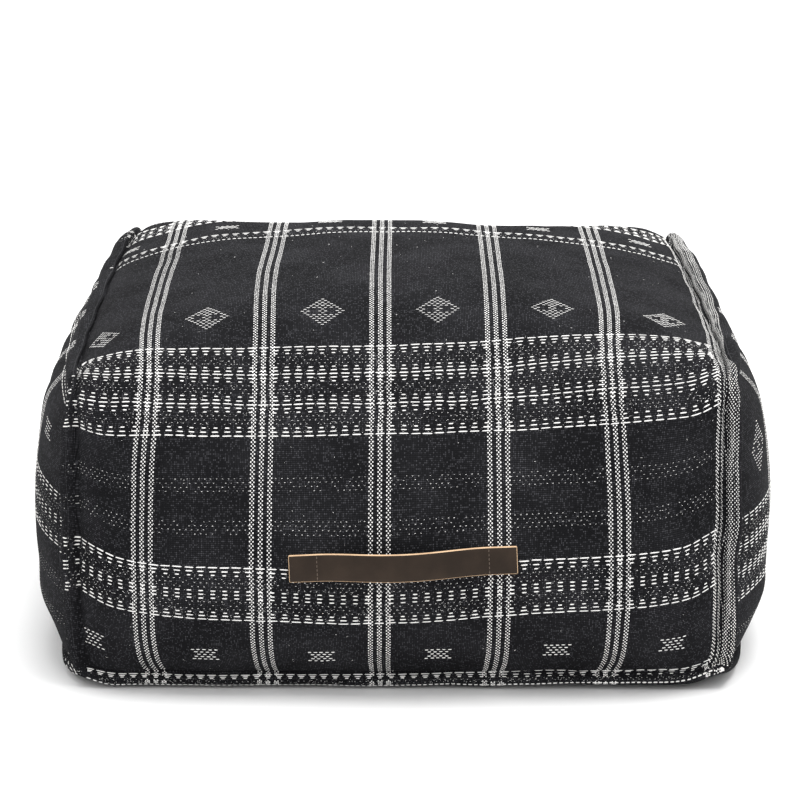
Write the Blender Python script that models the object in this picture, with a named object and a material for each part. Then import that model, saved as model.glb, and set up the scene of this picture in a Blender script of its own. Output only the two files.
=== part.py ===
"""Cube pouf stool: a stuffed cover of hand-loomed cloth with a leather strap handle.

The cover starts as a box of panels, one metre unit to a metre, with +Z up and the front facing -Y.
Its origin is the middle of the base, on the floor. The front, the top and the back are one panel of
cloth with broad unseamed rounds between them, and every other edge of the box is a seam, whose
pressed fold stands proud. The panels then swell with the stuffing and settle a little unevenly.
"""

import math

import bmesh
import bpy
from mathutils import Vector

# The cover between its seams
HALF_WIDTH = 0.305
HALF_DEPTH = 0.305
SEAM_HEIGHT = 0.320
SEAM_LIFT = 0.0145  # the base seam rides this high above the floor
FLAT_SHARE = 0.86  # share of the base that lies flat

# The unseamed rounds over the front and the back edge of the top
ROUND_MIDDLE = 0.205
ROUND_SEAM = 0.020
ROUND_POWER = 2.9

# The swell of the panels, with the height share where it is fullest and its share at the top
FRONT_SWELL, FRONT_FULLEST, FRONT_AT_TOP = 0.048, 0.345, 1.10
BACK_SWELL = 0.041
SIDE_SWELLS, SIDE_FULLEST, SIDE_AT_TOP = (0.0555, 0.059), 0.476, 0.134
FRONT_FLATNESS, SIDE_FLATNESS = 9, 5.3  # how far a swell keeps its depth towards the seams
CROWN, CROWN_ACROSS, CROWN_ALONG = 0.035, 2.27, 2.8
EDGE_DROP, EDGE_POWER = 0.0175, 16  # the top falls off steeply beside its side seams

# How the top corners have settled: side, end, metres outwards to the right, metres up, and how
# closely each move keeps to its corner
SETTLED_CORNERS = (
    (-1, -1, 0.004, -0.009, 1),
    (1, -1, -0.002, -0.002, 1),
    (-1, 1, 0.005, 0.0195, 1),
    (-1, 1, 0.011, -0.002, 5),
    (1, 1, -0.0115, 0.0095, 1),
    (1, 1, -0.003, 0.0, 2),
)

# How the front corners of the base are drawn up: side, metres inwards, metres up
LIFTED_CORNERS = ((-1, 0.007, 0.004), (1, 0.0025, 0.0095))

# The pressed fold of cloth along each seam
FOLD_PROUD = 0.012
FOLD_THICK = 0.005
FOLD_CLEAR = 0.0008  # the folds around the base stop this high above the floor

# The strap handle, placed on the front by its share of the half width and of the seam height
HANDLE_ACROSS, HANDLE_UP = 0.010, 0.406
HANDLE_LENGTH, HANDLE_WIDTH, HANDLE_THICK = 0.210, 0.025, 0.0036
HANDLE_TILT = math.radians(2.4)
HANDLE_FREE = 0.158  # the length between its two rows of stitches
HANDLE_BOW = 0.0125
HANDLE_SEAT = 0.0003
HANDLE_EDGE = 0.0007

CELLS = 24  # cells along each edge of the box
HANDLE_CELLS = 24

CLOTH_BLACK = (0.022, 0.022, 0.025, 1.0)
LEATHER_BROWN = (0.048, 0.030, 0.021, 1.0)


def smooth_step(share):
    share = min(max(share, 0.0), 1.0)
    return share * share * (3 - 2 * share)


def swell(height, fullest, at_top, power):
    """How far a panel swells at a share of its height: 0 at the base seam, 1 where it is fullest."""
    rise = height ** (math.log(0.5) / math.log(fullest))
    arch = max(math.sin(math.pi * rise), 0.0) ** power
    return arch + smooth_step((height - fullest) / (1 - fullest)) * at_top * (1 - arch)


def rounded(across, y, z):
    """Draws a point of the box in over the unseamed round at the front or the back of the top."""
    radius = ROUND_MIDDLE + (ROUND_SEAM - ROUND_MIDDLE) * abs(across) ** ROUND_POWER
    past_y = abs(y) - (HALF_DEPTH - radius)
    past_z = z - (SEAM_HEIGHT - radius)
    if past_y <= 0 or past_z <= 0:
        return y, z
    draw = max(past_y, past_z) / math.hypot(past_y, past_z)
    y = math.copysign(HALF_DEPTH - radius + past_y * draw, y)
    return y, SEAM_HEIGHT - radius + past_z * draw


def past_flat(share):
    """0 over the flat middle of the base, rising to 1 at its edge."""
    return smooth_step((share - FLAT_SHARE) / (1 - FLAT_SHARE))


def on_cover(across, along, height):
    """The place of a point of the box: across and along run from -1 to 1, height from 0 to 1."""
    y, z = rounded(across, along * HALF_DEPTH, height * SEAM_HEIGHT)
    wide = abs(across)
    front = (FRONT_SWELL if along < 0 else BACK_SWELL) * (1 - wide**FRONT_FLATNESS)
    front *= swell(z / SEAM_HEIGHT, FRONT_FULLEST, FRONT_AT_TOP, 1.3)
    crown = CROWN * (1 - wide**CROWN_ACROSS) * (1 - abs(y / HALF_DEPTH) ** CROWN_ALONG)
    crown -= EDGE_DROP * wide**EDGE_POWER
    side = SIDE_SWELLS[across > 0] * (1 - abs(along) ** SIDE_FLATNESS)
    side *= swell(height, SIDE_FULLEST, SIDE_AT_TOP, 0.345)
    rim = max((max(wide, abs(along)) - FLAT_SHARE) / (1 - FLAT_SHARE), 0.0)
    place = Vector(
        (
            across * (HALF_WIDTH + side),
            y * (1 + front / HALF_DEPTH),
            z * (1 + crown / SEAM_HEIGHT) + SEAM_LIFT * (1 - height) * rim**2,
        )
    )
    for corner_side, corner_end, right, up, power in SETTLED_CORNERS:
        near = ((1 + corner_side * across) * (1 + corner_end * along) / 4) ** power
        place += Vector((right, 0, up)) * near * height
    for corner_side, inwards, up in LIFTED_CORNERS:
        near = past_flat(corner_side * across) * past_flat(-along) * (1 - height) ** 5
        place += Vector((-corner_side * inwards, 0, up)) * near
    return place


def spread(share):
    """Moves evenly spaced cells of the box towards its edges, where the form turns most."""
    return (share + math.sin(share * math.pi / 2)) / 2


def is_seam(edge):
    """True on the box's edges, apart from the front and the back edge of its top."""
    middle = (edge.verts[0].co + edge.verts[1].co) / 2
    outer = [abs(abs(value) - 1) < 1e-4 for value in middle]
    on_unseamed_round = outer[1] and outer[2] and middle.z > 0 and not outer[0]
    return sum(outer) >= 2 and not on_unseamed_round


def raise_folds(mesh, strip):
    """Draws the fold of each seam out of the strip of faces that runs along it."""
    nose = bmesh.ops.extrude_face_region(mesh, geom=strip)["geom"]
    nose = [item for item in nose if isinstance(item, bmesh.types.BMFace)]
    bmesh.ops.delete(mesh, geom=strip, context="FACES")
    mesh.normal_update()
    outward = {vert: Vector() for face in nose for vert in face.verts}
    for face in nose:
        for vert in face.verts:
            outward[vert] += face.normal
    for vert, direction in outward.items():
        vert.co += direction.normalized() * FOLD_PROUD
        vert.co.z = max(vert.co.z, FOLD_CLEAR)


def make_cover():
    mesh = bmesh.new()
    bmesh.ops.create_cube(mesh, size=2)
    bmesh.ops.subdivide_edges(mesh, edges=mesh.edges, cuts=CELLS - 1, use_grid_fill=True)
    seams = [edge for edge in mesh.edges if is_seam(edge)]
    for vert in mesh.verts:
        across, along, up = (spread(value) for value in vert.co)
        box = (across * HALF_WIDTH, along * HALF_DEPTH, (up + 1) / 2 * SEAM_HEIGHT)
        vert.co = box
    cut = bmesh.ops.bevel(
        mesh,
        geom=seams,
        offset=FOLD_THICK / math.sqrt(3),
        segments=1,
        profile=0.5,
        affect="EDGES",
        material=-1,
    )
    for vert in mesh.verts:
        x, y, z = vert.co
        vert.co = on_cover(x / HALF_WIDTH, y / HALF_DEPTH, z / SEAM_HEIGHT)
    raise_folds(mesh, cut["faces"])
    bmesh.ops.triangulate(mesh, faces=mesh.faces)
    return named_object("pouf_cover", mesh)


def make_handle():
    """A flat strap with square ends, held to the front at its ends and bowed out between them."""
    mesh = bmesh.new()
    bmesh.ops.create_cube(mesh, size=1)
    size = Vector((HANDLE_LENGTH, HANDLE_THICK, HANDLE_WIDTH))
    bmesh.ops.scale(mesh, vec=size, verts=mesh.verts)
    bmesh.ops.bevel(
        mesh,
        geom=mesh.edges[:],
        offset=HANDLE_EDGE,
        segments=1,
        profile=0.5,
        affect="EDGES",
        material=-1,
    )
    for longer_than, cuts in ((HANDLE_WIDTH / 2, 3), (HANDLE_LENGTH / 2, HANDLE_CELLS)):
        below = HANDLE_LENGTH / 2 if longer_than < HANDLE_LENGTH / 2 else HANDLE_LENGTH
        edges = [edge for edge in mesh.edges if longer_than < edge.calc_length() < below]
        bmesh.ops.subdivide_edges(mesh, edges=edges, cuts=cuts, use_grid_fill=True)
    centre = on_cover(HANDLE_ACROSS, -1, HANDLE_UP)
    for vert in mesh.verts:
        free = min(abs(2 * vert.co.x / HANDLE_FREE), 1)
        across = (centre.x + vert.co.x) / HALF_WIDTH
        rise = vert.co.x * math.sin(HANDLE_TILT) + vert.co.z
        height = HANDLE_UP + rise / (SEAM_HEIGHT - SEAM_LIFT)
        cloth = on_cover(across, -1, height).y - centre.y
        vert.co.y += cloth - HANDLE_BOW * (1 - free**2) ** 2 - HANDLE_SEAT - HANDLE_THICK / 2
    strap = named_object("handle_strap", mesh)
    strap.location = centre
    strap.rotation_euler.y = -HANDLE_TILT
    return strap


def named_object(name, mesh):
    bmesh.ops.recalc_face_normals(mesh, faces=mesh.faces)
    data = bpy.data.meshes.new(name)
    mesh.to_mesh(data)
    mesh.free()
    data.shade_smooth()
    data.set_sharp_from_angle(angle=math.radians(50))
    return bpy.data.objects.new(name, data)


def finish_with(piece, name, colour, roughness):
    material = bpy.data.materials.new(name)
    material.use_nodes = True
    shader = material.node_tree.nodes["Principled BSDF"]
    shader.inputs["Base Color"].default_value = colour
    shader.inputs["Roughness"].default_value = roughness
    shader.inputs["Metallic"].default_value = 0.0
    piece.data.materials.append(material)


def main():
    for obj in list(bpy.data.objects):
        bpy.data.objects.remove(obj)
    parts = bpy.data.collections.new("cube_pouf_stool")
    bpy.context.scene.collection.children.link(parts)
    stool = bpy.data.objects.new("pouf_stool", None)
    cover = make_cover()
    handle = make_handle()
    for obj in (stool, cover, handle):
        parts.objects.link(obj)
    for piece in (cover, handle):
        piece.parent = stool
    finish_with(cover, "black_loomed_cloth", CLOTH_BLACK, 0.92)
    finish_with(handle, "brown_leather", LEATHER_BROWN, 0.5)


main()
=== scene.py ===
"""Looks of the cube pouf stool, in metres, with +Z up and the front facing -Y.

The cover is a wrap panel, two side panels and a base panel of black hand-loomed cloth, sewn along
pressed folds. White yarn is woven in over the cloth as rows of floats. A leather strap handle is
stitched to the front.
"""

import math

import bmesh
import bpy
import numpy as np
from mathutils import Matrix, Vector
from mathutils.bvhtree import BVHTree


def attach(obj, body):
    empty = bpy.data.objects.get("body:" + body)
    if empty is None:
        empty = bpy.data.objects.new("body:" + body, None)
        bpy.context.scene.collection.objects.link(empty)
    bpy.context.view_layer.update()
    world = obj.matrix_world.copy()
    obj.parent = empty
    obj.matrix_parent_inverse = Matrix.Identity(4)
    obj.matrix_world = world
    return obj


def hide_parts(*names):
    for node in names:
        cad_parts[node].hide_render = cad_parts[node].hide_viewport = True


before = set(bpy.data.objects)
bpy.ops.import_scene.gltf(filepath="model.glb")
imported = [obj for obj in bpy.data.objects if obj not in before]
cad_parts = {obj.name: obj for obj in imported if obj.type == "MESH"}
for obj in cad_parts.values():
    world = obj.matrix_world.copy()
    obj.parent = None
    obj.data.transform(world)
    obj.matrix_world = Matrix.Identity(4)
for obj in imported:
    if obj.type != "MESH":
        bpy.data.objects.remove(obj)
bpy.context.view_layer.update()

# The cover between its seams
HALF_WIDTH = 0.305
HALF_DEPTH = 0.305
SEAM_HEIGHT = 0.320
SEAM_LIFT = 0.0145  # the base seam rides this high above the floor
FLAT_SHARE = 0.86  # share of the base that lies flat
CELLS = 56  # cells along each edge of the sewn box

# The unseamed rounds over the front and the back edge of the top
ROUND_MIDDLE, ROUND_SEAM, ROUND_POWER = 0.205, 0.020, 2.9

# The swell of the panels, with the height share where it is fullest, its share at the top, how far
# it keeps its depth towards the seams, and the power of its arch
FRONT_SWELL, BACK_SWELL = 0.048, 0.041
FRONT_FULLEST, FRONT_AT_TOP, FRONT_FLATNESS, FRONT_ARCH = 0.345, 1.10, 9, 1.3
SIDE_SWELLS = (0.0555, 0.059)
SIDE_FULLEST, SIDE_AT_TOP, SIDE_FLATNESS, SIDE_ARCH = 0.476, 0.134, 5.3, 0.345
CROWN, CROWN_ACROSS, CROWN_ALONG = 0.035, 2.27, 2.8
EDGE_DROP, EDGE_POWER = 0.0175, 16  # the top falls off steeply beside its side seams

# Where the sides are drawn in or fuller: height share, reach, and how much fuller
SIDE_EASED = ((0.955, 0.065, -0.52), (0.17, 0.08, 0.10))

# How the top corners have settled: side, end, metres to the right, metres up, and how closely each
# move keeps to its corner
SETTLED_CORNERS = (
    (-1, -1, 0.004, -0.009, 1),
    (1, -1, -0.002, -0.002, 1),
    (-1, 1, 0.005, 0.0195, 1),
    (-1, 1, 0.011, -0.002, 5),
    (1, 1, -0.0115, 0.0095, 1),
    (1, 1, -0.003, 0.0, 2),
)

# How the front corners of the base are drawn up: side, metres inwards, metres up
LIFTED_CORNERS = ((-1, 0.007, 0.004), (1, 0.0025, 0.0095))

# The pressed folds: how far each step stands out of the seam, and its share of the thickness there
FOLD_THICK = 0.005
FOLD_STEPS = ((0.0010, 0.70), (0.0036, 1.45), (0.0090, 1.60), (0.0122, 0.95))
FOLD_ROOT = 0.0024  # how far inside the cover a fold starts
FOLD_CLEAR = 0.0008  # the folds around the base stop this high above the floor
FOLD_NOSE = 0.0018  # the cloth from a panel's edge to the middle of the fold's nose
SEAM_CUT = FOLD_THICK / math.sqrt(3)  # how much of a panel goes into the fold
SEAM_ZONE = SEAM_CUT + 1e-5

BASE_REACH = 0.98  # how far the folds around the base stand out beside the others
TOP_REACHES = ((0.46, 0.74), (0.92, 0.95))  # and those of the top, left and right, front and back
FOLD_LEAN, BASE_LEAN = 2.2, 1.7  # to the sides at the upright seams, and down around the base

# The lip of the front's base seam rides up from the floor: where across, and how high
HEM_ACROSS = (-0.30, -0.24, -0.16, -0.09, -0.04, 0.03, 0.08, 0.11, 0.28, 0.30)
HEM_LIFTS = (0.0005, 0.0010, 0.0032, 0.0036, 0.0022, 0.0002, 0.0004, 0.0045, 0.0048, 0.0030)

# Where the top is fuller: its middle across, its width and its height
CREST = ((-0.20, 0.06, 0.0030), (-0.05, 0.07, 0.0034), (0.04, 0.04, 0.0012), (0.23, 0.05, 0.0022))

# Soft dents in the cover: the way in which each wave runs, and its waves in a metre
DENT_WAVES = (
    ((0.9, 0.2, 0.5), 6.1),
    ((-0.3, 0.8, 0.6), 8.7),
    ((0.5, -0.6, 0.9), 12.9),
    ((0.8, 0.7, -0.4), 17.3),
)
DENT_DEPTH = PUCKER_DEPTH = SEAM_WANDER = 0.0005

# The weave: an end and a pick of the ground, the rise of its rows, and a repeat of the pattern
END = 0.001562
PICK = 0.0019
ROW = 2 * PICK
SKEW = 0.02625
REPEAT = 0.6955
DASH = 7 * END

# The white stripes: groups of three stripes, with a bay of motifs between the groups
STRIPE_PITCH = 70 * END
STRIPE_PLACE = -0.019
STRIPE_APART = 0.0082
STRIPE_ENDS = 3
BAY_MIDDLE = STRIPE_PLACE + STRIPE_PITCH / 2
SELVEDGE = 0.3125  # right of here every end of the wrap is white
SIDE_START = 0.120 - STRIPE_PLACE  # a side panel's first group is 0.120 from its front seam

# The pattern, in places along the cloth from the base seam of the front
TRIANGLE_BAND = (0.0865, 0.1382)
DASH_LINES = (0.2593, 0.2911, 0.3230, 0.3549)
DOT_GROUPS = (0.1746, 0.2134)
SPECK_BANDS = ((-0.022, -0.007), TRIANGLE_BAND, (0.2601, 0.3554))
DOTS_MISSING, SPECK_CHANCE = 0.2, 0.08

# The white yarn: its lengths, half its width, and the place above which the wrap's is thinner
LONG, MID, SHORT, DOT, SPECK = 5.6 * END, 3.8 * END, 2.4 * END, 1.0 * END, 0.7 * END
TRIANGLE_FLOAT, MOTIF_FLOAT = 2.94 * END, 2.1 * END
FLOAT_WIDE = 0.00068
ON_TOP = 0.36
SUNK = 0.00015  # how deep the edge of a float lies in the cloth
BEAD_WIDE, BEAD_LONG, BEAD_HIGH, BEAD_SUNK = 0.00072, 0.00094, 0.00026, 0.00003

# The patterned part of each panel, low and high along its cloth and across it, where its stripes
# start, and how thick its yarn is low on the cloth, above ON_TOP, and in the selvedge
PATTERNED = {
    "wrap_panel": ((-0.0255, 1.235, -0.326, 0.3265), -1, (1.0, 0.76, 0.88)),
    "side_panel_left": ((-0.06, 0.40, -0.16, 0.60), -0.089, (0.78, 0.78, 1.0)),
    "side_panel_right": ((0.08, 0.525, -0.16, 0.60), -0.089, (0.9, 0.9, 1.0)),
}
BANDS_END = 0.309  # the wrap's floats stop here, beside its selvedge
WRAP_PARTS = (0.42, 0.84)  # where the wrap's white ends are parted into pieces

SWALLOWED = 2.15  # cloth that the base seam takes up, for each length of its fold that shows

# The top-stitching: its pitch, how far up the folds it runs, half the width of its thread, and how
# high it starts beside the front
STITCH_PITCH, STITCH_UP, STITCH_WIDE, STITCHED_FROM = 0.0040, 0.0055, 0.00042, 0.01

# Where the stuffing has drawn the wrap's cloth: across, along, reach across, reach along, and how
# far it has moved across and along
DRAWN_CLOTH = (
    (-0.32, 0.36, 0.045, 0.12, 0.0, 0.027),
    (-0.02, 0.10, 0.11, 0.08, 0.0, 0.010),
    (0.20, 0.36, 0.105, 0.07, 0.0, -0.011),
    (0.03, 0.72, 0.13, 0.12, 0.0, 0.0075),
    (-0.25, 0.72, 0.08, 0.12, 0.0, -0.025),
    (0.31, 0.72, 0.09, 0.14, 0.0, -0.0245),
    (-0.27, 0.05, 0.07, 0.07, 0.0, -0.005),
    (0.27, 0.43, 0.05, 0.05, 0.0, -0.006),
    (0.17, 0.10, 0.10, 0.12, -0.003, 0.0),
    (0.25, 0.35, 0.06, 0.08, 0.006, 0.0),
    (-0.30, 0.35, 0.05, 0.08, -0.010, 0.0),
    (-0.15, 0.50, 0.10, 0.10, 0.003, 0.0),
    (0.325, 0.275, 0.048, 0.085, 0.0, 0.0115),
    (0.325, 0.115, 0.05, 0.07, 0.0, 0.011),
    (-0.31, 0.25, 0.05, 0.05, 0.0, 0.005),
)
GATHERED_LEFT, GATHERED_RIGHT, GATHERED_REACH = 0.045, 0.05, 0.02

# How the cloth of the side panels runs: the row at the top seam, how far it slopes and sags
# backwards, and how much the right one's is eased at places along it
LEFT_START, LEFT_SLOPE = 0.0255, 0.03
RIGHT_START, RIGHT_SLOPE = 0.5165, 0.075
SIDE_SAG = 0.12
RIGHT_PLACES = (0.200, 0.262, 0.297, 0.377, 0.433, 0.500)
RIGHT_EASED = (0.068, 0.0488, 0.037, 0.0215, 0.026, 0.030)

# The handle: its place, as share of the half width and of the seam height, then its sizes
HANDLE_ACROSS, HANDLE_UP = 0.010, 0.406
HANDLE_LENGTH, HANDLE_WIDTH, HANDLE_THICK = 0.210, 0.025, 0.0036
HANDLE_TILT = math.radians(2.4)
HANDLE_FREE = 0.158  # the length between its two rows of stitches
HANDLE_BOW = 0.0125
HANDLE_SEAT = 0.0003
HANDLE_EDGE = 0.0011
HANDLE_STITCHES, HANDLE_STITCH_PITCH = 6, 0.0038
HANDLE_STITCH = (0.00045, 0.0003, 0.0016)

# The two colours between which each finish varies
LOOMED_BLACK = ((0.0055, 0.0055, 0.0064, 1.0), (0.100, 0.100, 0.111, 1.0))
YARN_WHITE = ((0.89, 0.88, 0.86, 1.0), (0.67, 0.66, 0.64, 1.0))
THREAD_BLACK = ((0.008, 0.008, 0.009, 1.0), (0.022, 0.022, 0.025, 1.0))
THREAD_WAXED = ((0.115, 0.082, 0.058, 1.0), (0.055, 0.038, 0.027, 1.0))
LEATHER_BROWN = ((0.020, 0.0135, 0.0095, 1.0), (0.032, 0.0215, 0.015, 1.0))
EDGE_TAN = ((0.66, 0.46, 0.28, 1.0), (0.38, 0.23, 0.13, 1.0))

# The camera: how far it looks down and to the left, its aim and distance, and its focal length in
# widths of the picture
CAMERA_DOWN, CAMERA_LEFT = math.radians(14.2), math.radians(0.3826)
CAMERA_AIM, CAMERA_AWAY = Vector((-0.00178, 0, 0.20247)), 3.16087
FOCAL_WIDTHS = 3090.16 / 800

# The planes of the sewn box, the way each faces, and the panel that it belongs to
FRONT, TOP, BACK, LEFT, RIGHT, BASE = range(6)
FACINGS = ((0, -1, 0), (0, 0, 1), (0, 1, 0), (-1, 0, 0), (1, 0, 0), (0, 0, -1))
PANEL_PLANES = {
    "wrap_panel": (FRONT, TOP, BACK),
    "side_panel_left": (LEFT,),
    "side_panel_right": (RIGHT,),
    "base_panel": (BASE,),
}
WRAP_PATH = 2 * SEAM_HEIGHT + 2 * HALF_DEPTH


# ---------- the stuffed form


def smooth_step(share):
    share = np.clip(share, 0, 1)
    return share * share * (3 - 2 * share)


def swell(height, fullest, at_top, power):
    """How far a panel swells at a share of its height: 0 at its base seam, 1 at its fullest."""
    rise = np.clip(height, 0, 1) ** (math.log(0.5) / math.log(fullest))
    arch = np.maximum(np.sin(np.pi * rise), 0) ** power
    return arch + smooth_step((height - fullest) / (1 - fullest)) * at_top * (1 - arch)


def rounded(across, y, z):
    """Draws points of the box in over the unseamed round at the front or the back of the top."""
    radius = ROUND_MIDDLE + (ROUND_SEAM - ROUND_MIDDLE) * np.abs(across) ** ROUND_POWER
    past_y = np.abs(y) - (HALF_DEPTH - radius)
    past_z = z - (SEAM_HEIGHT - radius)
    turns = (past_y > 0) & (past_z > 0)
    past_y, past_z = np.maximum(past_y, 1e-9), np.maximum(past_z, 1e-9)
    draw = np.maximum(past_y, past_z) / np.hypot(past_y, past_z)
    new_y = np.copysign(HALF_DEPTH - radius + past_y * draw, y)
    new_z = SEAM_HEIGHT - radius + past_z * draw
    return np.where(turns, new_y, y), np.where(turns, new_z, z)


def past_flat(share):
    """0 over the flat middle of the base, rising to 1 at its edge."""
    return smooth_step((share - FLAT_SHARE) / (1 - FLAT_SHARE))


def on_cover(x, y, z):
    """Swells points of the sewn box, in metres, into the stuffed and settled form."""
    across = np.clip(x / HALF_WIDTH, -1, 1)
    along = np.clip(y / HALF_DEPTH, -1, 1)
    height = np.clip(z / SEAM_HEIGHT, 0, 1)
    y, z = rounded(across, along * HALF_DEPTH, height * SEAM_HEIGHT)
    wide = np.abs(across)
    front = np.where(along < 0, FRONT_SWELL, BACK_SWELL) * (1 - wide**FRONT_FLATNESS)
    front = front * swell(z / SEAM_HEIGHT, FRONT_FULLEST, FRONT_AT_TOP, FRONT_ARCH)
    crown = CROWN * (1 - wide**CROWN_ACROSS) * (1 - np.abs(y / HALF_DEPTH) ** CROWN_ALONG)
    crown = crown - EDGE_DROP * wide**EDGE_POWER
    side = np.where(across < 0, *SIDE_SWELLS) * (1 - np.abs(along) ** SIDE_FLATNESS)
    side = side * swell(height, SIDE_FULLEST, SIDE_AT_TOP, SIDE_ARCH)
    for middle, reach, fuller in SIDE_EASED:
        side = side * (1 + fuller * np.exp(-(((height - middle) / reach) ** 2)))
    rim = np.maximum((np.maximum(wide, np.abs(along)) - FLAT_SHARE) / (1 - FLAT_SHARE), 0)
    x = across * (HALF_WIDTH + side)
    y = y * (1 + front / HALF_DEPTH)
    z = z * (1 + crown / SEAM_HEIGHT) + SEAM_LIFT * (1 - height) * rim**2
    for corner_side, corner_end, right, up, power in SETTLED_CORNERS:
        near = ((1 + corner_side * across) * (1 + corner_end * along) / 4) ** power * height
        x = x + right * near
        z = z + up * near
    for corner_side, inwards, up in LIFTED_CORNERS:
        near = past_flat(corner_side * across) * past_flat(-along) * (1 - height) ** 5
        x = x - corner_side * inwards * near
        z = z + up * near
    return np.stack((x, y, z), axis=-1)


def spread(share):
    """Moves evenly spaced cells of the box towards its edges, where the form turns most."""
    return (share + math.sin(share * math.pi / 2)) / 2


# ---------- lengths along the cloth


def lengths_along(points, axis):
    steps = np.linalg.norm(np.diff(points, axis=axis), axis=2)
    return np.cumsum(np.insert(steps, 0, 0, axis=axis), axis=axis)


def read_table(table, row, column):
    """The table's values at shares, from 0 to 1, of its rows and columns."""
    row = np.clip(row, 0, 1) * (table.shape[0] - 1)
    column = np.clip(column, 0, 1) * (table.shape[1] - 1)
    low_row = np.minimum(row.astype(int), table.shape[0] - 2)
    low_column = np.minimum(column.astype(int), table.shape[1] - 2)
    row, column = row - low_row, column - low_column
    near = table[low_row, low_column] * (1 - row) + table[low_row + 1, low_column] * row
    far = table[low_row, low_column + 1] * (1 - row) + table[low_row + 1, low_column + 1] * row
    return near * (1 - column) + far * column


def wrap_tables():
    """How far each point of the wrap panel is across and along its cloth."""
    paths = np.linspace(0, WRAP_PATH, 401)
    across, path = np.meshgrid(np.linspace(-1, 1, 121), paths, indexing="ij")
    y = np.clip(path - SEAM_HEIGHT, 0, 2 * HALF_DEPTH) - HALF_DEPTH
    z = np.minimum(path, SEAM_HEIGHT) - np.maximum(path - SEAM_HEIGHT - 2 * HALF_DEPTH, 0)
    points = on_cover(across * HALF_WIDTH, y, z)
    wide = lengths_along(points, 0)
    return wide - wide[60], lengths_along(points, 1)


def side_tables(facing):
    """How far each point of a side panel is from its front seam and down from its top seam."""
    heights = np.linspace(SEAM_HEIGHT, 0, 81)
    y, z = np.meshgrid(np.linspace(-HALF_DEPTH, HALF_DEPTH, 121), heights, indexing="ij")
    points = on_cover(np.full_like(y, facing * HALF_WIDTH), y, z)
    return lengths_along(points, 0), lengths_along(points, 1)


def drawn(u, v):
    """The place on the woven cloth at lengths measured along the wrap panel as it lies."""
    shift_u, shift_v = np.zeros_like(u), np.zeros_like(v)
    for across, along, wide, long, right, up in DRAWN_CLOTH:
        near = np.exp(-(((u - across) / wide) ** 2) - ((v - along) / long) ** 2)
        shift_u, shift_v = shift_u + right * near, shift_v + up * near
    gathered = np.where(u < 0, GATHERED_LEFT, GATHERED_RIGHT) * np.exp(-v / GATHERED_REACH)
    return u * (1 + gathered) + shift_u, v + shift_v


def on_cloth(plane, box, beyond):
    """The place on its woven cloth of points of the sewn box that belong to one of its planes.

    Beyond is how far a point stands out on the fold of a seam.
    """
    x, y, z = box.T
    past_x = np.sign(x) * (np.abs(x) > HALF_WIDTH - SEAM_ZONE) * beyond
    past_y = np.sign(y) * (np.abs(y) > HALF_DEPTH - SEAM_ZONE) * beyond
    past_base = (z < SEAM_ZONE) * beyond
    past_top = (z > SEAM_HEIGHT - SEAM_ZONE) * beyond
    if plane in (FRONT, TOP, BACK):
        path = {FRONT: z, TOP: SEAM_HEIGHT + HALF_DEPTH + y, BACK: WRAP_PATH - z}[plane]
        wide, long = WRAP_LENGTHS
        row, column = (x / HALF_WIDTH + 1) / 2, path / WRAP_PATH
        u, v = drawn(read_table(wide, row, column), read_table(long, row, column))
        onwards = {FRONT: -SWALLOWED, TOP: 0, BACK: SWALLOWED}[plane]
        return u + past_x, v + past_base * onwards
    if plane in (LEFT, RIGHT):
        back, down = SIDE_LENGTHS[plane]
        row, column = (y / HALF_DEPTH + 1) / 2, 1 - z / SEAM_HEIGHT
        u = read_table(back, row, column) + past_y - SIDE_START
        down = read_table(down, row, column) + past_base - past_top
        from_front = u + SIDE_START
        sag = SIDE_SAG * from_front**2
        if plane == LEFT:
            return u, down - LEFT_START - LEFT_SLOPE * from_front - sag + SKEW * u
        v = RIGHT_START - down + RIGHT_SLOPE * from_front + sag
        return u, v - np.interp(v, RIGHT_PLACES, RIGHT_EASED) + SKEW * u
    return x + past_x, y + past_y


WRAP_LENGTHS = wrap_tables()
SIDE_LENGTHS = {LEFT: side_tables(-1), RIGHT: side_tables(1)}


# ---------- the sewn cover


def is_seam(edge):
    """True on the box's edges, apart from the front and the back edge of its top."""
    middle = (edge.verts[0].co + edge.verts[1].co) / 2
    outer = [abs(abs(value) - 1) < 1e-4 for value in middle]
    on_unseamed_round = outer[1] and outer[2] and middle.z > 0 and not outer[0]
    return sum(outer) >= 2 and not on_unseamed_round


def lean_of(strip, sewn):
    """The way in which the fold stands out, at each corner of the strip along the seams."""
    lean = {vert: Vector() for face in strip for vert in face.verts}
    for face in strip:
        for vert in face.verts:
            lean[vert] += face.normal
    for vert, way in lean.items():
        x, y, z = vert[sewn]
        if abs(x) > HALF_WIDTH - SEAM_ZONE and abs(y) > HALF_DEPTH - SEAM_ZONE:
            way.x *= FOLD_LEAN
        if z < SEAM_ZONE:
            way.z *= BASE_LEAN
    for _ in range(3):
        eased = {vert: Vector() for vert in lean}
        for face in strip:
            whole = sum((lean[vert] for vert in face.verts), Vector())
            for vert in face.verts:
                eased[vert] += whole
        lean = {vert: way.normalized() for vert, way in eased.items()}
    return lean


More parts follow.
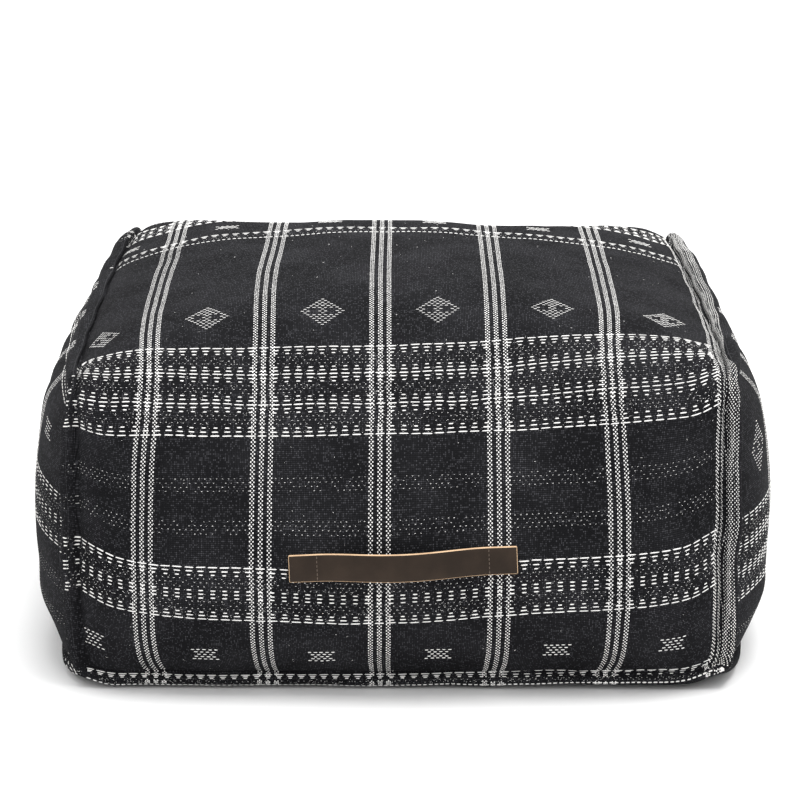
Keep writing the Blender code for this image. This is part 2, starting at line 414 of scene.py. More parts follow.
def reach_of(box):
    """How far a fold stands out beside its usual height, at a point of the sewn box."""
    x, y, z = box
    reach = BASE_REACH + (1 - BASE_REACH) * min(max((z - 0.006) / 0.035, 0), 1)
    top = float(np.interp(y, (0.10, 0.28), TOP_REACHES[x > 0]))
    reach *= 1 + (top - 1) * min(max((z - SEAM_HEIGHT + 0.05) / 0.045, 0), 1)
    along = x * 1.1 + y * 0.9 + z * 1.3
    reach *= 1 + 0.05 * math.sin(along * 43 + 2) + 0.025 * math.sin(along * 97 + 1)
    from_corner = (HALF_WIDTH - abs(x), HALF_DEPTH - abs(y), min(z, SEAM_HEIGHT - z))
    near = math.exp(-sum(value * value for value in from_corner) / 0.016**2)
    return reach * (1 - 0.25 * near)


def lip_height(box):
    """How high above the floor the fold of a base seam stays, at a point of the sewn box."""
    front = min(max((0.02 - HALF_DEPTH - box[1]) / 0.02, 0), 1)
    return FOLD_CLEAR + front * float(np.interp(box[0], HEM_ACROSS, HEM_LIFTS))


def bevelled(mesh, edges, offset, segments):
    """Cuts a strip of faces along these edges."""
    settings = {"profile": 0.5, "affect": "EDGES", "material": -1}
    cut = bmesh.ops.bevel(mesh, geom=edges, offset=offset, segments=segments, **settings)
    return cut["faces"]


def make_cage():
    """The sewn box, swelled, with its seams drawn out into folds."""
    mesh = bmesh.new()
    bmesh.ops.create_cube(mesh, size=2)
    bmesh.ops.subdivide_edges(mesh, edges=mesh.edges, cuts=CELLS - 1, use_grid_fill=True)
    mesh.normal_update()
    for face in mesh.faces:
        face.material_index = FACINGS.index(tuple(round(value) for value in face.normal))
    seams = [edge for edge in mesh.edges if is_seam(edge)]
    for vert in mesh.verts:
        across, along, up = (spread(value) for value in vert.co)
        vert.co = (across * HALF_WIDTH, along * HALF_DEPTH, (up + 1) / 2 * SEAM_HEIGHT)
    strip = bevelled(mesh, seams, SEAM_CUT, 2)
    sewn = mesh.verts.layers.float_vector.new("sewn_box")
    out = mesh.verts.layers.float.new("fold_out")
    flat = np.array([vert.co for vert in mesh.verts])
    for vert, place in zip(mesh.verts, on_cover(*flat.T)):
        vert[sewn] = vert.co
        vert.co = place
    mesh.normal_update()
    raise_folds(mesh, strip, sewn, out)
    return mesh


def raise_folds(mesh, strip, sewn, out):
    """Draws the folds out of the strip of faces that runs along the seams, step by step."""
    limits = (HALF_WIDTH, HALF_DEPTH, SEAM_HEIGHT)
    for name in ("fold_lean", "fold_side", "fold_root"):
        mesh.verts.layers.float_vector.new(name)
    lean_layer, side_layer, root_layer = mesh.verts.layers.float_vector.values()[1:]
    for vert, lean in lean_of(strip, sewn).items():
        edge = [
            math.copysign(limit, value) if abs(value) > limit - SEAM_ZONE else value
            for value, limit in zip(vert[sewn], limits)
        ]
        if edge[2] < SEAM_ZONE:
            edge[2] = 0.0
        off = vert.co - Vector(on_cover(*edge))
        vert[lean_layer] = lean
        vert[side_layer] = off - lean * off.dot(lean)
        vert[root_layer] = vert.co
        vert.co -= lean * FOLD_ROOT
    for stands_out, thickness in FOLD_STEPS:
        made = bmesh.ops.extrude_face_region(mesh, geom=strip)["geom"]
        bmesh.ops.delete(mesh, geom=strip, context="FACES")
        strip = [item for item in made if isinstance(item, bmesh.types.BMFace)]
        for vert in {vert for face in strip for vert in face.verts}:
            place = vert[root_layer] + vert[lean_layer] * stands_out * reach_of(vert[sewn])
            place += vert[side_layer] * (thickness - 1)
            place.z = max(place.z, lip_height(vert[sewn]))
            vert.co = place
            vert[out] = stands_out


def mesh_object(name, mesh):
    data = bpy.data.meshes.new(name)
    mesh.to_mesh(data)
    mesh.free()
    data.shade_smooth()
    return new_object(name, data)


def new_object(name, data):
    made = bpy.data.objects.new(name, data)
    bpy.context.scene.collection.objects.link(made)
    return made


def read(collection, name, width, kind=np.float64):
    """One value of every item of a mesh's collection, as an array with this many columns."""
    values = np.empty(len(collection) * width, kind)
    collection.foreach_get(name, values)
    return values.reshape(-1, width) if width > 1 else values


def lay_cloth(data):
    """Gives each face of the cage its place on the woven cloth, as the UV map named cloth."""
    vert_of = read(data.loops, "vertex_index", 1, np.int32)
    planes = read(data.polygons, "material_index", 1, np.int32)
    plane_of = np.repeat(planes, read(data.polygons, "loop_total", 1, np.int32))
    box = read(data.attributes["sewn_box"].data, "vector", 3)[vert_of]
    beyond = read(data.attributes["fold_out"].data, "value", 1)[vert_of]
    x, y, z = box.T
    off_wrap = (y + HALF_DEPTH, SEAM_HEIGHT - z, HALF_DEPTH - y)
    uv = np.zeros((len(vert_of), 2))
    for plane, off in enumerate((*off_wrap, x + HALF_WIDTH, HALF_WIDTH - x, z)):
        mine = plane_of == plane
        # the middle line of a fold's nose lies on no plane of the box
        nose = np.where(np.abs(off[mine]) > 1e-4, FOLD_NOSE, 0.0)
        u, v = on_cloth(plane, box[mine], beyond[mine] + nose)
        uv[mine] = pairs(u, v)
    layer = data.uv_layers.new(name="cloth")
    layer.data.foreach_set("uv", uv.astype(np.float32).ravel())


def settle(data):
    """Moves the points of the cover a little: soft dents, seams that wander, and small puckers."""
    place = read(data.vertices, "co", 3)
    normal = read(data.vertex_normals, "vector", 3)
    x, y, z = read(data.attributes["sewn_box"].data, "vector", 3).T
    off_floor = smooth_step((place[:, 2] - 0.001) / 0.03)
    dents = np.zeros(len(place))
    for index, (way, waves) in enumerate(DENT_WAVES):
        turn = place @ np.array(way) * waves * 2 * np.pi + 1.7 * index
        dents += np.sin(turn + 1.3 * np.sin(turn * 0.61 + index)) / (1 + 0.45 * index)
    dents *= DENT_DEPTH
    edges = (HALF_WIDTH - np.abs(x), HALF_DEPTH - np.abs(y), np.minimum(z, SEAM_HEIGHT - z))
    to_seam = np.sort(np.stack(edges), axis=0)[1]
    along = x * 1.03 + y * 0.97 + z * 1.06
    pucker = np.sin(along * 262 + 2.2 * np.sin(along * 31)) * np.sin(along * 43 + 0.7)
    pucker *= PUCKER_DEPTH * np.exp(-to_seam / 0.016) * (to_seam > 0.003)
    sway = (np.sin(along * 71 + 0.4), np.sin(along * 83 + 2.1), np.sin(along * 64 + 4.0))
    wander = np.exp(-to_seam / 0.05)[:, None] * SEAM_WANDER * np.stack(sway, axis=1)
    moved = place + (normal * (dents + pucker)[:, None] + wander) * off_floor[:, None]
    over = smooth_step((place[:, 2] - 0.2) / 0.1) * smooth_step((y + 0.17) / 0.2)
    over *= 1 - np.abs(x / HALF_WIDTH) ** 8
    for middle, wide, high in CREST:
        moved[:, 2] += high * over * np.exp(-(((x - middle) / wide) ** 2))
    moved[:, 2] = np.maximum(moved[:, 2], np.minimum(place[:, 2], FOLD_CLEAR))
    data.vertices.foreach_set("co", moved.astype(np.float32).ravel())
    data.update()


def make_panels():
    """The cover's panels of cloth, each with its half of every seam fold."""
    cage = mesh_object("cover_cage", make_cage())
    lay_cloth(cage.data)
    smooth = cage.modifiers.new("smooth", "SUBSURF")
    smooth.levels = smooth.render_levels = 1
    smooth.uv_smooth = "NONE"
    bpy.context.view_layer.update()
    smoothed = cage.evaluated_get(bpy.context.evaluated_depsgraph_get())
    fine = bpy.data.meshes.new_from_object(smoothed)
    bpy.data.objects.remove(cage)
    settle(fine)
    panels = {}
    for name, planes in PANEL_PLANES.items():
        mesh = bmesh.new()
        mesh.from_mesh(fine)
        others = [face for face in mesh.faces if face.material_index not in planes]
        bmesh.ops.delete(mesh, geom=others, context="FACES")
        for face in mesh.faces:
            face.material_index = 0
        panels[name] = mesh_object(name, mesh)
    bpy.data.meshes.remove(fine)
    return panels


# ---------- finishes


def operator(operation, reflected=False):
    def work(self, other):
        return self.maths(operation, *((other, self) if reflected else (self, other)))

    return work


class Signal:
    """A value that varies over a surface; working with it adds Math nodes to its finish."""

    __add__ = __radd__ = operator("ADD")
    __sub__, __rsub__ = operator("SUBTRACT"), operator("SUBTRACT", reflected=True)
    __mul__ = __rmul__ = operator("MULTIPLY")
    __truediv__, __rtruediv__ = operator("DIVIDE"), operator("DIVIDE", reflected=True)
    __mod__, __rmod__ = operator("FLOORED_MODULO"), operator("FLOORED_MODULO", reflected=True)

    def __init__(self, finish, socket):
        self.finish = finish
        self.socket = socket

    def maths(self, operation, *values):
        return self.finish.node("ShaderNodeMath", {"operation": operation}, values)

    def __floor__(self):
        return self.maths("FLOOR", self)

    def sine(self):
        return self.maths("SINE", self)

    def between(self, low, high):
        """0 below low, 1 above high and a smooth rise between them."""
        values = {"Value": self, "From Min": low, "From Max": high}
        settings = {"interpolation_type": "SMOOTHSTEP"}
        return self.finish.node("ShaderNodeMapRange", settings, values)


class Finish:
    """A material whose nodes are added one by one."""

    def __init__(self, name, **constants):
        self.material = bpy.data.materials.new(name)
        self.material.use_nodes = True
        self.tree = self.material.node_tree
        self.shader = self.tree.nodes["Principled BSDF"]
        self.feed(**constants)

    def set(self, node, values):
        """Sets or links the sockets of a node, named by their place or name."""
        named = values.items() if isinstance(values, dict) else enumerate(values)
        for key, value in named:
            if isinstance(value, Signal):
                self.tree.links.new(value.socket, node.inputs[key])
            else:
                node.inputs[key].default_value = value

    def node(self, kind, settings=None, values=(), output=0):
        """Adds a node, with its settings and its sockets' values or links."""
        made = self.tree.nodes.new(kind)
        for key, value in (settings or {}).items():
            setattr(made, key, value)
        self.set(made, values)
        return Signal(self, made.outputs[output])

    def feed(self, **values):
        """Sets or links the shader's sockets, with an underline for each space in their names."""
        self.set(self.shader, {key.replace("_", " "): value for key, value in values.items()})

    def dress(self, share, colours, height, distance, strength):
        """Blends the two colours, adds the relief and gives the material."""
        values = {0: share, 6: colours[0], 7: colours[1]}
        blend = self.node("ShaderNodeMix", {"data_type": "RGBA"}, values, output=2)
        values = {"Height": height, "Distance": distance, "Strength": strength}
        self.feed(Base_Color=blend, Normal=self.node("ShaderNodeBump", None, values))
        return self.material

    def noise(self, where, scale, detail=2.0, roughness=0.5):
        values = {"Vector": where, "Scale": scale, "Detail": detail, "Roughness": roughness}
        return self.node("ShaderNodeTexNoise", None, values)

    def fibres(self, fine, coarse):
        """Fine fibres, and the coarse patches in which they lie."""
        place = self.objectwise()
        return self.noise(place, fine, 3.0, 0.7), self.noise(place, coarse)

    def placed(self, x, y):
        return self.node("ShaderNodeCombineXYZ", None, (x, y))

    def objectwise(self):
        return self.node("ShaderNodeTexCoord", None, (), "Object")


def loomed_cloth():
    """Plain weave of black yarn, with grey flecks and slubs in it; these fade to the plain black
    towards the hollows between ends and picks, as painted shade there.
    """
    finish = Finish("loomed_cloth", Roughness=0.95, Specular_IOR_Level=0.09)
    place = finish.node("ShaderNodeUVMap", {"uv_map": "cloth"})
    u = finish.node("ShaderNodeSeparateXYZ", None, (place,))
    v = Signal(finish, u.socket.node.outputs["Y"])
    row = v - u * SKEW
    ends, picks = u / END, row / PICK
    end, pick = math.floor(ends), math.floor(picks)
    arch_end = ((ends % 1) * math.pi).sine()
    arch_pick = ((picks % 1) * math.pi).sine()
    relief = arch_end * arch_pick
    chance = finish.node("ShaderNodeTexWhiteNoise", None, {"Vector": finish.placed(end, pick)})
    drift = finish.noise(finish.placed(u, v), 14.0, 3.0)
    slub = finish.noise(finish.placed(u * 70, row * 900), 1.0, 1.0).between(0.66, 0.80)
    fleck = chance.between(0.55, 1.0) * 0.45 + slub * 0.35 + drift.between(0.35, 0.75) * 0.22
    # painted shade: the grey shows only on the yarns' crowns, and the hollows of the weave keep the
    # plain black
    return finish.dress(fleck * relief.between(0.1, 0.9), LOOMED_BLACK, relief, 0.0004, 0.6)


def white_yarn():
    finish = Finish("white_yarn", Roughness=0.85, Specular_IOR_Level=0.3)
    fibre, patch = finish.fibres(1800.0, 90.0)
    shade = fibre.between(0.3, 0.7) * 0.35 + patch.between(0.35, 0.65) * 0.25
    return finish.dress(shade, YARN_WHITE, fibre, 0.0002, 0.5)


def twisted_thread(name, scale, colours, **constants):
    """Sewing thread, with a fine twist between its two colours."""
    finish = Finish(name, **constants)
    twist = finish.noise(finish.objectwise(), scale)
    return finish.dress(twist.between(0.35, 0.65), colours, twist, 0.0001, 0.4)


def strap_leather():
    finish = Finish("strap_leather", Roughness=0.5, Specular_IOR_Level=0.12)
    place = finish.objectwise()
    grain = finish.node("ShaderNodeTexVoronoi", None, {"Vector": place, "Scale": 900.0})
    cloudy = finish.noise(place, 30.0, 3.0)
    fine = finish.noise(place, 500.0, 3.0, 0.6)
    finish.feed(Roughness=fine * 0.25 + 0.42)
    relief = grain + fine * 0.5
    return finish.dress(cloudy.between(0.3, 0.7), LEATHER_BROWN, relief, 0.0001, 0.4)


def raw_edge():
    finish = Finish("raw_leather_edge", Roughness=0.8)
    fibre, patch = finish.fibres(1500.0, 60.0)
    shade = fibre.between(0.3, 0.7) * 0.4 + patch.between(0.4, 0.7) * 0.4
    return finish.dress(shade, EDGE_TAN, fibre, 0.0001, 0.4)


# ---------- white floats


class ClothFinder:
    """Finds where on a panel a spot of its woven cloth lies."""

    def __init__(self, panel):
        self.low_size, self.high_size, self.selvedge_size = PATTERNED[panel.name][2]
        data = panel.data
        data.calc_loop_triangles()
        loops = read(data.loop_triangles, "loops", 3, np.int32)
        verts = read(data.loop_triangles, "vertices", 3, np.int32)
        uv = read(data.uv_layers["cloth"].data, "uv", 2)
        self.uv = uv[loops]
        self.places = read(data.vertices, "co", 3)[verts]
        self.normals = read(data.vertex_normals, "vector", 3)[verts]
        flat = np.insert(self.uv.reshape(-1, 2), 2, 0, axis=1)
        corners = np.arange(len(flat)).reshape(-1, 3)
        self.tree = BVHTree.FromPolygons(flat.tolist(), corners.tolist())

    def find(self, spots):
        """The places and normals of the cloth at these spots, and which of them it holds."""
        hits = [self.tree.find_nearest((u, v, 0.0)) for u, v in spots]
        index = np.array([hit[2] for hit in hits])
        held = np.array([hit[3] for hit in hits]) < 2e-4
        a, b, c = (self.uv[index, corner] for corner in range(3))
        near, far, spot = b - a, c - a, spots - a
        area = crossed(near, far)
        area = np.where(np.abs(area) < 1e-14, 1e-14, area)
        second, third = crossed(spot, far) / area, crossed(near, spot) / area
        shares = np.clip(np.stack((1 - second - third, second, third), axis=1), 0, 1)
        shares = shares / shares.sum(axis=1, keepdims=True)
        place = (self.places[index] * shares[..., None]).sum(axis=1)
        normal = unit((self.normals[index] * shares[..., None]).sum(axis=1))
        return place, normal, held

    def lay(self, spots, lengths, wides, ways):
        """The two ends and the middle of yarns that lie on the cloth, the cloth's normal there, and
        which of them the cloth holds over their whole length."""
        half = ways * lengths[:, None] / 2
        middle, up, held = self.find(spots)
        start, _, start_held = self.find(spots - half)
        end, _, end_held = self.find(spots + half)
        held &= start_held & end_held
        held &= np.linalg.norm(end - start, axis=1) > lengths * 0.75
        return start, middle, end, up, wides, held


def crossed(first, second):
    return first[:, 0] * second[:, 1] - first[:, 1] * second[:, 0]


def pairs(first, second):
    return np.stack((first, second), axis=1)


def unit(vectors):
    return vectors / np.linalg.norm(vectors, axis=1, keepdims=True)


def row_of(v, length, offset=0.0, pitch=DASH, missing=0.0, size=1.0):
    """One row of floats; missing is the share of them that is left out."""
    return v, length, offset, pitch, missing, size


def dotted(v):
    """Three rows of dots, with each row's dots between those of the next."""
    return [
        row_of(v + step * ROW, DOT, DASH / 4 * (step % 2), DASH / 2, DOTS_MISSING, 0.62)
        for step in (-1, 0, 1)
    ]


def pattern_rows():
    """The rows of one repeat, from the bottom of the front upwards."""
    rows = [
        row_of(-0.0235, 2.4 * END, pitch=DASH / 2, size=1.15),
        row_of(-0.0165, DOT, pitch=DASH / 2, missing=0.4, size=0.45),
        row_of(-0.0125, DOT, DASH / 4, DASH / 2, 0.3, 0.45),
        row_of(-0.0057, SHORT, size=0.8),
        row_of(-0.0019, MID, size=0.8),
        row_of(0.0019, LONG, size=0.9),
    ]
    low, high = TRIANGLE_BAND
    step = (high - low) / 14
    for edge, way in ((low, 1), (high, -1)):
        for index, length in enumerate((LONG, MID, SHORT)):
            rows.append(row_of(edge + way * index * step, length))
        rows += dotted(edge + way * 4 * step)
    rows += [row_of(low + index * step, TRIANGLE_FLOAT) for index in (6, 7, 8)]
    for low, high in zip(DASH_LINES, DASH_LINES[1:]):
        step = (high - low) / 8
        rows.append(row_of(low, LONG))
        for edge, way in ((low, 1), (high, -1)):
            rows += [row_of(edge + way * step, MID), row_of(edge + way * 2 * step, SHORT)]
        rows += dotted((low + high) / 2)
    rows.append(row_of(DASH_LINES[-1], LONG))
    return rows


# The motifs in the bays, as the steps up and across of their floats
HOURGLASS = [
    (rise, across)
    for rise in range(-2, 3)
    for across in range(-2 - abs(rise), 3 + abs(rise), 2)
]
DIAMOND_GAPS = {0: (3,), 1: (2, 4)}
DIAMOND = [
    (rise, across)
    for rise in range(-7, 8)
    for across in range(abs(rise) - 7, 8 - abs(rise), 2)
    if abs(across) not in DIAMOND_GAPS.get(abs(rise), ())
]

# Each motif with its place along the cloth, the rise of its steps and the size of its floats
MOTIFS = ((HOURGLASS, 0.040, 0.0035, 0.85), (DIAMOND, 0.407, 0.0031, 0.7))


def row_spots(start, area, chance):
    """The floats in the rows of the repeat that starts here."""
    v_low, v_high, u_low, u_high = area
    spots = []
    for rise, length, offset, pitch, missing, size in pattern_rows():
        v = rise + start
        if not v_low < v < v_high:
            continue
        first = math.ceil((u_low - BAY_MIDDLE - offset) / pitch)
        last = math.floor((u_high - BAY_MIDDLE - offset) / pitch)
        for index in range(first, last + 1):
            if chance.random() >= missing:
                spots.append((BAY_MIDDLE + offset + index * pitch, v, length, size))
    return spots


def bay_spots(start, area, chance):
    """The floats between the stripes: the motifs, and the groups of dots."""
    u_low = area[2]
    spots = []
    for bay in range(math.ceil((u_low - BAY_MIDDLE) / STRIPE_PITCH) - 1, 8):
        middle = BAY_MIDDLE + bay * STRIPE_PITCH
        for motif, v, step, size in MOTIFS:
            for rise, across in motif:
                rise = v + start + rise * step
                spots.append((middle + across * DASH / 4, rise, MOTIF_FLOAT, size))
        for v in DOT_GROUPS:
            for step in range(4):
                rise = v + start + (step - 1.5) * ROW
                for across in range(step % 2 - 16, 17, 2):
                    if chance.random() >= DOTS_MISSING:
                        size = chance.uniform(0.4, 0.7)
                        spots.append((middle + across * DASH / 4, rise, DOT, size))
    return spots


def speck_spots(start, area, chance):
    """Single specks of white yarn, strewn over the busiest bands; the lowest is in front only."""
    v_low, v_high, u_low, u_high = area
    ends = np.arange(u_low, u_high, END)
    spots = []
    for low, high in SPECK_BANDS:
        if start and low < 0:
            continue
        for step in range(math.ceil((high - low) / PICK)):
            v = low + start + (step + 0.5) * PICK
            if not v_low < v < v_high:
                continue
            for u in ends[chance.random(len(ends)) < SPECK_CHANCE]:
                spots.append((u, v, SPECK, chance.uniform(0.28, 0.55)))
    return spots


def float_spots(area, chance):
    """Every white float of a panel: its middle across and along the cloth, length and size."""
    spots = []
    for turn in range(-1, 3):
        for kind in (row_spots, bay_spots, speck_spots):
            spots += kind(turn * REPEAT, area, chance)
    spots = np.array(spots)
    v_low, v_high, u_low, u_high = area
    inside = (spots[:, 0] > u_low) & (spots[:, 0] < u_high)
    inside &= (spots[:, 1] > v_low) & (spots[:, 1] < v_high)
    return spots[inside]


def white_ends(area, first_stripe, has_selvedge):
    """Where the white ends of the stripes come up over the picks, across and along the cloth."""
    v_low, v_high, u_low, u_high = area
    columns = []
    for group in range(-4, 8):
        for stripe in (-1, 0, 1):
            place = STRIPE_PLACE + group * STRIPE_PITCH + stripe * STRIPE_APART
            if place < max(first_stripe, u_low) or place > u_high:
                continue
            columns += [place + (end - (STRIPE_ENDS - 1) / 2) * END for end in range(STRIPE_ENDS)]
    if has_selvedge:
        count = math.ceil((u_high - SELVEDGE) / END)
        columns = [place for place in columns if place < SELVEDGE]
        columns += [SELVEDGE + (end + 0.5) * END for end in range(count)]
    columns = np.array(columns)
    ends = np.arange(len(columns))
    picks = np.arange(math.floor(v_low / PICK) - 10, math.ceil(v_high / PICK) + 10)
    end, pick = np.meshgrid(ends, picks, indexing="ij")
    over = (end + pick) % 2 == 0
    u = columns[end[over]]
    v = (pick[over] + 0.5) * PICK + SKEW * u
    inside = (v > v_low) & (v < v_high)
    return pairs(u[inside], v[inside])


def taken_apart(mesh):
    corners = np.array([vert.co for vert in mesh.verts])
    faces = np.array([[vert.index for vert in face.verts] for face in mesh.faces])
    mesh.free()
    return corners, faces


def float_shape(steps_along, steps_across):
    """One float of yarn on a square from -1 to 1, with its height above the cloth from 0 to 1."""
    mesh = bmesh.new()
    bmesh.ops.create_grid(mesh, x_segments=steps_along, y_segments=steps_across, size=1)
    corners, faces = taken_apart(mesh)
    x, y, _ = corners.T
    along = np.sign(x) * np.abs(x) ** 0.45
    across = y * (1 - 0.45 * np.abs(x) ** 3)
    height = np.sqrt(np.maximum(1 - y**2, 0)) * (1 - 0.8 * np.abs(x) ** 4)
    return along, across, height, faces


def lay_floats(finder, spots, chance):
    """The white floats of a panel, as yarns on its cloth."""
    u, v, length, size = spots.T
    count = len(u)
    u = u + chance.normal(0, 0.00012, count)
    v = v + SKEW * u + chance.normal(0, 0.00014, count)
    length = length * chance.uniform(0.92, 1.08, count)
    tilt = chance.normal(0, 0.02, count) + SKEW
    wide = FLOAT_WIDE * size * chance.uniform(0.88, 1.12, count)
    wide = wide * np.where(v > ON_TOP, finder.high_size, finder.low_size)
    ways = pairs(np.ones(count), tilt)
    return finder.lay(pairs(u, v), length, wide, ways)


def lay_fluff(finder, count, v_high, u_high, chance):
    """Stray white fibres that lie on the cloth."""
    u = chance.uniform(-u_high, u_high, count)
    v = chance.uniform(0.0, v_high, count)
    turn = chance.uniform(0, math.pi, count)
    length = chance.uniform(0.0012, 0.0034, count)
    wide = chance.uniform(0.00015, 0.00036, count)
    ways = pairs(np.cos(turn), np.sin(turn))
    return finder.lay(pairs(u, v), length, wide, ways)


def yarns(name, laid, proud=0.75, steps=(4, 3)):
    """One piece of the yarns that are laid on a panel, each a rounded float."""
    *parts, held = (np.concatenate(part) for part in zip(*laid))
    start, middle, end, up, wide = (part[held] for part in parts)
    beside = unit(np.cross(up, end - start))
    along, across, height, faces = float_shape(*steps)
    share = along[None, :, None]
    spine = (
        start[:, None] * share * (share - 1) / 2
        + middle[:, None] * (1 - share**2)
        + end[:, None] * share * (share + 1) / 2
    )
    places = spine + beside[:, None] * across[None, :, None] * wide[:, None, None]
    high = wide[:, None, None] * proud + SUNK
    places += up[:, None] * (height[None, :, None] * high - SUNK)
    return joined(name, places, faces)


def raised_ends(name, finder, spots, chance):
    """One piece of the white ends, each a small hexagonal bead on the cloth."""
    mesh = bmesh.new()
    bmesh.ops.create_circle(mesh, segments=6, radius=1, cap_ends=True, cap_tris=True)
    corners, faces = taken_apart(mesh)
    corners[:, 2] = 1 - np.hypot(corners[:, 0], corners[:, 1])
    spots = spots + chance.normal(0, 0.00006, spots.shape)
    place, up, held = finder.find(spots)
    ahead, _, ahead_held = finder.find(spots + np.array((0.0, 0.0009)))
    held &= ahead_held & (np.linalg.norm(ahead - place, axis=1) > 0.0004)
    place, up, ahead = place[held], up[held], ahead[held]
    along = unit(ahead - place)
    beside = unit(np.cross(along, up))
    size = chance.uniform(0.88, 1.12, (len(place), 1, 1))
    u, v = spots[held].T
    in_selvedge = (u > SELVEDGE) & (v < ON_TOP)
    size = size * np.where(in_selvedge, finder.selvedge_size, 1)[:, None, None]
    places = place[:, None] + beside[:, None] * corners[None, :, :1] * BEAD_WIDE * size
    places += along[:, None] * corners[None, :, 1:2] * BEAD_LONG * size
    places += up[:, None] * (corners[None, :, 2:] * BEAD_HIGH * size - BEAD_SUNK)
    return joined(name, places, faces)


def stitched_seams():
    """The panel and plane of each stitched seam, the axis on which it keeps its place and that
    place, and the axis along which it runs, from where to where."""
    upright = (2, STITCHED_FROM, SEAM_HEIGHT)
    sideways = (0, -HALF_WIDTH, HALF_WIDTH)
    backwards = (1, -HALF_DEPTH, HALF_DEPTH)
    for plane, run in ((FRONT, upright), (TOP, backwards), (BACK, upright)):
        for side in (-1, 1):
            yield "wrap_panel", plane, 0, side * HALF_WIDTH, *run
    for plane in (FRONT, BACK):
        yield "wrap_panel", plane, 2, 0.0, *sideways
    for name, plane in (("side_panel_left", LEFT), ("side_panel_right", RIGHT)):
        yield name, plane, 1, -HALF_DEPTH, *upright
        for height in (SEAM_HEIGHT, 0.0):
            yield name, plane, 2, height, *backwards


def seam_stitches(finders):
    """Top-stitching of black thread along the folds, sewn through near their roots."""
    laid = []
    for name, plane, fixed, value, way, low, high in stitched_seams():
        side, across, down = FACINGS[plane]
        marks = np.arange(low, high, STITCH_PITCH / 2)
        box = np.array((side * HALF_WIDTH, across * HALF_DEPTH, SEAM_HEIGHT * max(down, 0)))
        box = np.tile(box, (len(marks), 1))
        box[:, fixed], box[:, way] = value, marks
        spots = np.stack(on_cloth(plane, box, np.full(len(marks), STITCH_UP)), axis=1)
        middle, before, after = spots[1:-1:2], spots[:-2:2], spots[2::2]
        count = min(len(middle), len(before), len(after))
        step = after[:count] - before[:count]
        length = np.linalg.norm(step, axis=1)
        wide, ways = np.full(count, STITCH_WIDE), step / length[:, None]
        laid.append(finders[name].lay(middle[:count], length * 0.8, wide, ways))
    return laid


def joined(name, places, faces):
    """One mesh of many like shapes, each with its own places for the corners."""
    count, corners = places.shape[:2]
    every = (faces[None] + (np.arange(count) * corners)[:, None, None]).astype(np.int32)
    data = bpy.data.meshes.new(name)
    data.vertices.add(count * corners)
    data.vertices.foreach_set("co", places.astype(np.float32).ravel())
    data.loops.add(every.size)
    data.loops.foreach_set("vertex_index", every.ravel())
    data.polygons.add(count * len(faces))
    starts = np.arange(0, every.size, faces.shape[1], dtype=np.int32)
    data.polygons.foreach_set("loop_start", starts)
    data.update()
    data.validate()
    data.shade_smooth()
    return new_object(name, data)


# ---------- the leather handle


def handle_place():
    """The middle of the handle's seat, and the move that takes a strap from the origin to it."""
    centre = on_cover(HANDLE_ACROSS * HALF_WIDTH, -HALF_DEPTH, HANDLE_UP * SEAM_HEIGHT)
    return centre, Matrix.Translation(Vector(centre)) @ Matrix.Rotation(-HANDLE_TILT, 4, "Y")


def cloth_behind(centre, x, z):
    """How far back the cloth lies behind a place on the strap, seen from the middle of its seat."""
    rise = (x * math.sin(HANDLE_TILT) + z) / (1 - SEAM_LIFT / SEAM_HEIGHT)
    behind = on_cover(centre[0] + x, -HALF_DEPTH, rise + HANDLE_UP * SEAM_HEIGHT)
    return behind[1] - centre[1]


def make_strap():
    mesh = bmesh.new()
    bmesh.ops.create_cube(mesh, size=1)
    size = Vector((HANDLE_LENGTH, HANDLE_THICK, HANDLE_WIDTH))
    bmesh.ops.scale(mesh, vec=size, verts=mesh.verts)
    bevelled(mesh, mesh.edges[:], HANDLE_EDGE, 3)
    half = HANDLE_LENGTH / 2
    for low, high, cuts in ((HANDLE_WIDTH / 2, half, 7), (half, HANDLE_LENGTH, 60)):
        edges = [edge for edge in mesh.edges if low < edge.calc_length() < high]
        bmesh.ops.subdivide_edges(mesh, edges=edges, cuts=cuts, use_grid_fill=True)
    mesh.normal_update()
    for face in mesh.faces:
        face.material_index = 0 if abs(face.normal.y) > 0.8 else 1
    centre, turn = handle_place()
    for vert in mesh.verts:
        free = min(abs(2 * vert.co.x / HANDLE_FREE), 1)
        back = cloth_behind(centre, vert.co.x, vert.co.z)
        vert.co.y += back - HANDLE_SEAT - HANDLE_THICK / 2
        vert.co.y -= HANDLE_BOW * (1 - free**2) ** 2
    bmesh.ops.transform(mesh, matrix=turn, verts=mesh.verts)
    strap = mesh_object("leather_handle", mesh)
    strap.data.set_sharp_from_angle(angle=math.radians(50))
    strap.data.materials.append(strap_leather())
    strap.data.materials.append(raw_edge())
    return strap


def handle_stitches():
    """The two rows of stitches that hold the strap, across its width."""
    centre, turn = handle_place()
    mesh = bmesh.new()
    for x in (-HANDLE_FREE / 2, HANDLE_FREE / 2):
        for index in range(HANDLE_STITCHES):
            z = (index - (HANDLE_STITCHES - 1) / 2) * HANDLE_STITCH_PITCH
            y = cloth_behind(centre, x, z) - HANDLE_SEAT - HANDLE_THICK
            made = bmesh.ops.create_uvsphere(mesh, u_segments=8, v_segments=6, radius=1)["verts"]
            bmesh.ops.scale(mesh, vec=Vector(HANDLE_STITCH), verts=made)
            bmesh.ops.translate(mesh, vec=Vector((x, y, z)), verts=made)
    bmesh.ops.transform(mesh, matrix=turn, verts=mesh.verts)
    stitches = mesh_object("handle_stitches", mesh)
    thread = twisted_thread("waxed_thread", 2200.0, THREAD_WAXED, Roughness=0.55)
    stitches.data.materials.append(thread)
    return stitches


# ---------- the studio


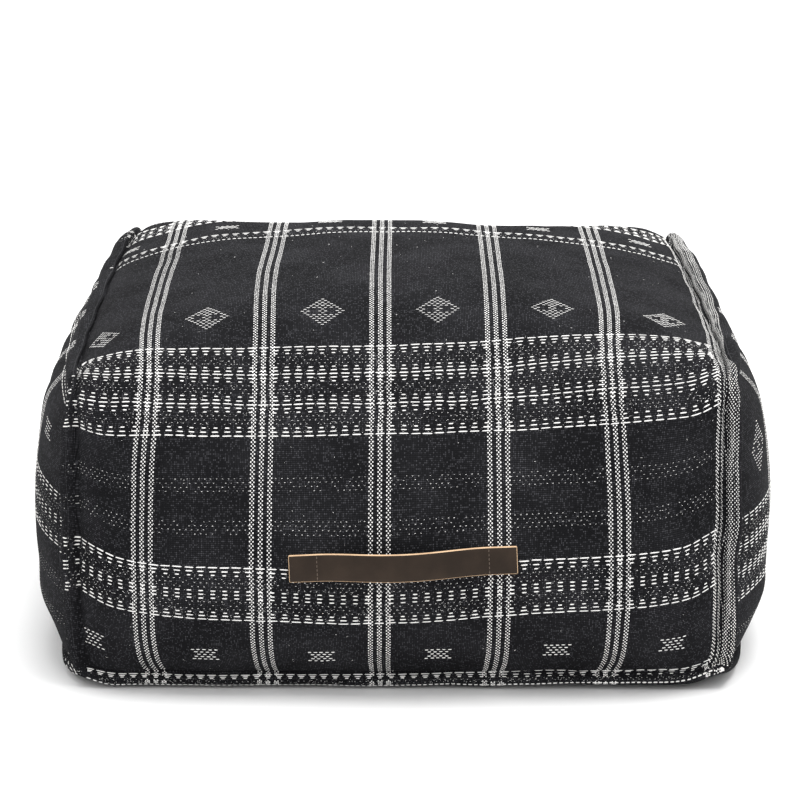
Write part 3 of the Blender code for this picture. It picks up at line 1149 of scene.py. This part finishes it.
def make_studio():
    mesh = bmesh.new()
    bmesh.ops.create_grid(mesh, x_segments=1, y_segments=1, size=30)
    floor = mesh_object("studio_floor", mesh)
    finish = Finish("studio_white", Roughness=0.9, Base_Color=(0.97, 0.97, 0.97, 1.0))
    floor.data.materials.append(finish.material)

    world = bpy.data.worlds.new("studio")
    world.use_nodes = True
    sky = world.node_tree.nodes["Background"]
    sky.inputs["Color"].default_value = (1, 1, 1, 1)
    sky.inputs["Strength"].default_value = 1.06
    bpy.context.scene.world = world

    lamp = bpy.data.lights.new("overhead_softbox", "AREA")
    lamp.shape = "SQUARE"
    lamp.size = 2.5
    lamp.energy = 110
    softbox = new_object("overhead_softbox", lamp)
    softbox.location = (0.4, -0.1, 3.0)
    facing = Vector((0, 0, 0.2)) - softbox.location
    softbox.rotation_euler = facing.to_track_quat("-Z", "Y").to_euler()


def make_camera():
    level, down = math.cos(CAMERA_DOWN), math.sin(CAMERA_DOWN)
    ahead = Vector((-math.sin(CAMERA_LEFT) * level, math.cos(CAMERA_LEFT) * level, -down))
    right = Vector((math.cos(CAMERA_LEFT), math.sin(CAMERA_LEFT), 0))
    turn = Matrix((right, right.cross(ahead), -ahead)).transposed().to_4x4()
    lens = bpy.data.cameras.new("camera")
    lens.sensor_width = 36
    lens.lens = FOCAL_WIDTHS * lens.sensor_width
    lens.clip_start = 0.05
    camera = new_object("camera", lens)
    camera.matrix_world = Matrix.Translation(CAMERA_AIM - ahead * CAMERA_AWAY) @ turn
    bpy.context.scene.camera = camera


# ---------- the whole stool


def white_pieces(name, finder, chance):
    """The white yarn of one panel: its floats, its specks, and the raised ends of its stripes."""
    area, first_stripe, _ = PATTERNED[name]
    v_low, v_high, u_low, u_high = area
    on_wrap = name == "wrap_panel"
    spots = float_spots((v_low, v_high, u_low, BANDS_END if on_wrap else u_high), chance)
    small = spots[:, 2] < 1.5 * END
    floats = [lay_floats(finder, spots[~small], chance)]
    specks = [lay_floats(finder, spots[small], chance)]
    if on_wrap:
        specks.append(lay_fluff(finder, 260, 0.95, 0.30, chance))
    pieces = [
        yarns(name.replace("panel", "floats"), floats),
        yarns(name.replace("panel", "specks"), specks, steps=(2, 2)),
    ]
    ends = white_ends(area, first_stripe, on_wrap)
    limits = (v_low, *(WRAP_PARTS if on_wrap else ()), v_high)
    for index, (low, high) in enumerate(zip(limits, limits[1:])):
        mine = ends[(ends[:, 1] >= low) & (ends[:, 1] < high)]
        piece_name = name.replace("panel", "stripes") + "_%d" % (index + 1)
        pieces.append(raised_ends(piece_name, finder, mine, chance))
    return pieces


def main():
    make_camera()
    make_studio()
    bpy.context.scene.view_settings.view_transform = "Standard"
    panels = make_panels()
    finders = {name: ClothFinder(panels[name]) for name in PATTERNED}
    white = []
    for seed, (name, finder) in enumerate(finders.items()):
        white += white_pieces(name, finder, np.random.default_rng(seed))
    stitches = yarns("seam_stitches", seam_stitches(finders), proud=0.7)
    thread = {"Roughness": 0.7, "Specular_IOR_Level": 0.3}
    for pieces, material in (
        (panels.values(), loomed_cloth()),
        (white, white_yarn()),
        ([stitches], twisted_thread("black_thread", 1500.0, THREAD_BLACK, **thread)),
    ):
        for piece in pieces:
            piece.data.materials.append(material)
    for piece in (*panels.values(), *white, stitches):
        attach(piece, "root")
    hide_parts("pouf_cover")
    strap = make_strap()
    for piece in (strap, handle_stitches()):
        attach(piece, "root")
    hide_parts("handle_strap")


main()
